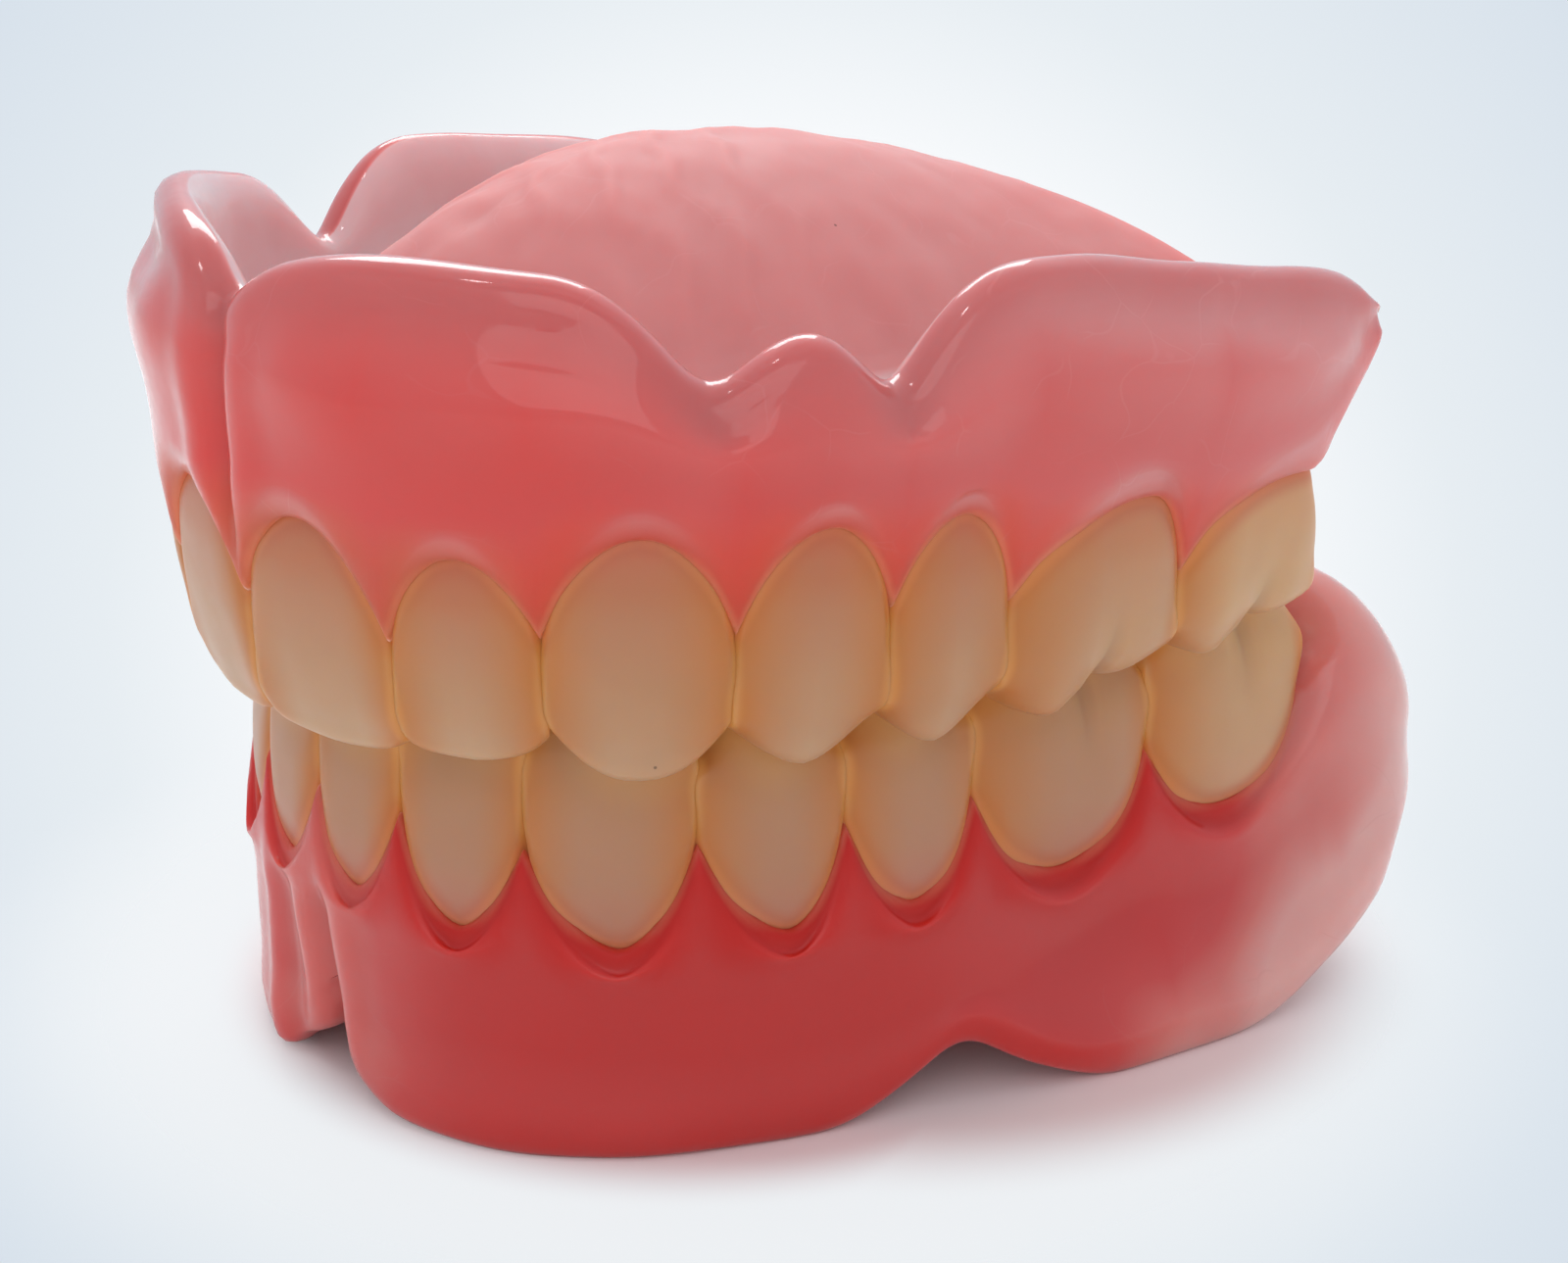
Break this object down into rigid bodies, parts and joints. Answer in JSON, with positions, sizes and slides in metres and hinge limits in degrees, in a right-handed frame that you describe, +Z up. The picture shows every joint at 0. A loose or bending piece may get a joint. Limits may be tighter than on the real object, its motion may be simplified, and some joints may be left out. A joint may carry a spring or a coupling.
{
  "type": "full denture",
  "caption": "Upper and lower complete denture, closed on each other: translucent pink acrylic bases with set teeth, worn over the gums in place of natural teeth",
  "frame": {"origin": "Under the middle of the bounding box, on the surface the lower denture stands on.", "axes": "+X is the patient's left, +Y is the back of the mouth, +Z is up. The front teeth face -Y."},
  "size_m": [0.054, 0.0576, 0.0432],
  "materials": {
    "acrylic": "polished translucent pink",
    "teeth": "glazed ivory"
  },
  "bodies": {
    "root": {"upper_base": "acrylic", "lower_base": "acrylic", "upper_left_central_incisor": "teeth", "upper_left_lateral_incisor": "teeth", "upper_left_canine": "teeth", "upper_left_first_premolar": "teeth", "upper_left_second_premolar": "teeth", "upper_left_first_molar": "teeth", "upper_left_second_molar": "teeth", "upper_right_central_incisor": "teeth", "upper_right_lateral_incisor": "teeth", "upper_right_canine": "teeth", "upper_right_first_premolar": "teeth", "upper_right_second_premolar": "teeth", "upper_right_first_molar": "teeth", "upper_right_second_molar": "teeth", "lower_left_central_incisor": "teeth", "lower_left_lateral_incisor": "teeth", "lower_left_canine": "teeth", "lower_left_first_premolar": "teeth", "lower_left_second_premolar": "teeth", "lower_left_first_molar": "teeth", "lower_left_second_molar": "teeth", "lower_right_central_incisor": "teeth", "lower_right_lateral_incisor": "teeth", "lower_right_canine": "teeth", "lower_right_first_premolar": "teeth", "lower_right_second_premolar": "teeth", "lower_right_first_molar": "teeth", "lower_right_second_molar": "teeth"}
  },
  "joints": []
}
